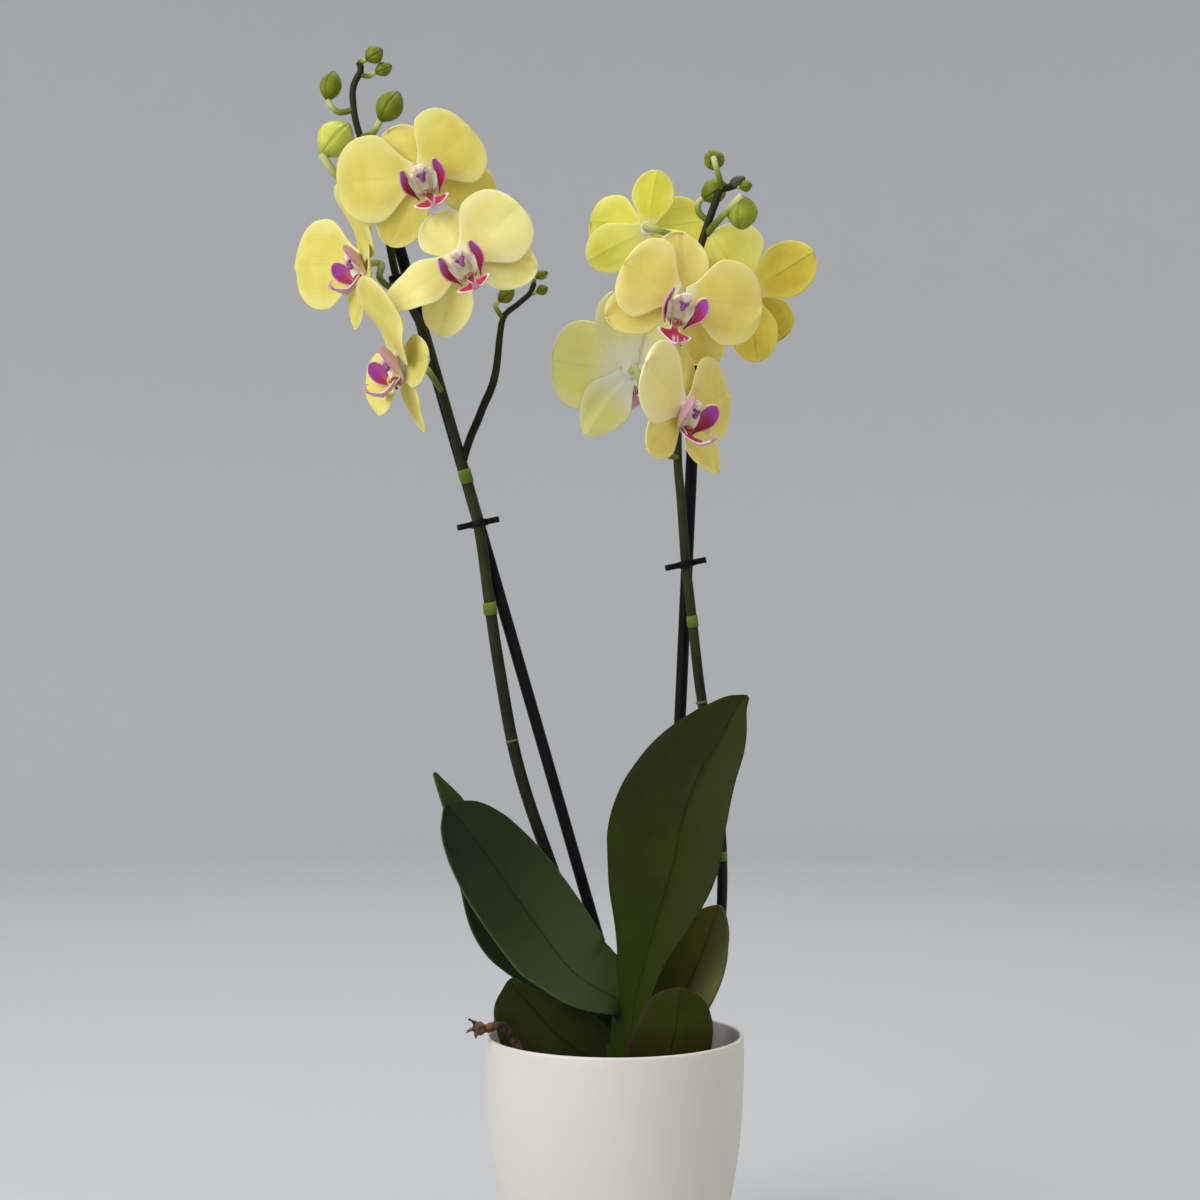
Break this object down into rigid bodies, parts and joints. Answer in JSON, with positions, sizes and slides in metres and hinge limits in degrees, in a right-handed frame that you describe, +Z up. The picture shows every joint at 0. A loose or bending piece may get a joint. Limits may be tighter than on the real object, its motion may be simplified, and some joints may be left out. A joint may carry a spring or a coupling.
{
  "type": "potted orchid",
  "caption": "Potted moth orchid: two staked flower spikes of yellow blooms with magenta lips over a rosette of broad dark leaves, in a plain off-white pot.",
  "frame": {"origin": "centre of the pot's flat underside, which rests on the shelf or table", "axes": "+Z up along the pot's axis, +X to the right seen from the front, -Y towards the viewer that the blooms face"},
  "size_m": [0.2679, 0.1548, 0.6348],
  "materials": {
    "pot_shell": "satin",
    "grow_pot": "translucent grey",
    "bark": "rough",
    "stake": "satin",
    "clip": "satin",
    "root": "matt",
    "dry_root": "dry and wrinkled",
    "stem": "satin",
    "leaf": "waxy satin",
    "petal": "matt with a faint sparkle",
    "lip": "satin"
  },
  "bodies": {
    "root": {"outer_pot": "pot_shell", "grow_pot": "grow_pot", "bark": "bark", "stake_left": "stake", "stake_right": "stake", "clip_left_low": "clip", "clip_left_high": "clip", "clip_right": "clip", "crown_and_roots": "root", "dry_root": "dry_root", "spike_left": "stem", "spike_right": "stem", "leaf_tall_right": "leaf", "leaf_big_left": "leaf", "leaf_hooked_left": "leaf", "leaf_low_left": "leaf", "leaf_short_front": "leaf", "leaf_mid_right": "leaf", "bloom_left_1": "petal", "lip_left_1": "lip", "bloom_left_2": "petal", "lip_left_2": "lip", "bloom_left_3": "petal", "lip_left_3": "lip", "bloom_left_4": "petal", "lip_left_4": "lip", "bloom_right_1": "petal", "lip_right_1": "lip", "bloom_right_2": "petal", "lip_right_2": "lip", "bloom_right_3": "petal", "lip_right_3": "lip", "bloom_right_4": "petal", "lip_right_4": "lip", "bloom_right_5": "petal", "lip_right_5": "lip"}
  },
  "joints": []
}
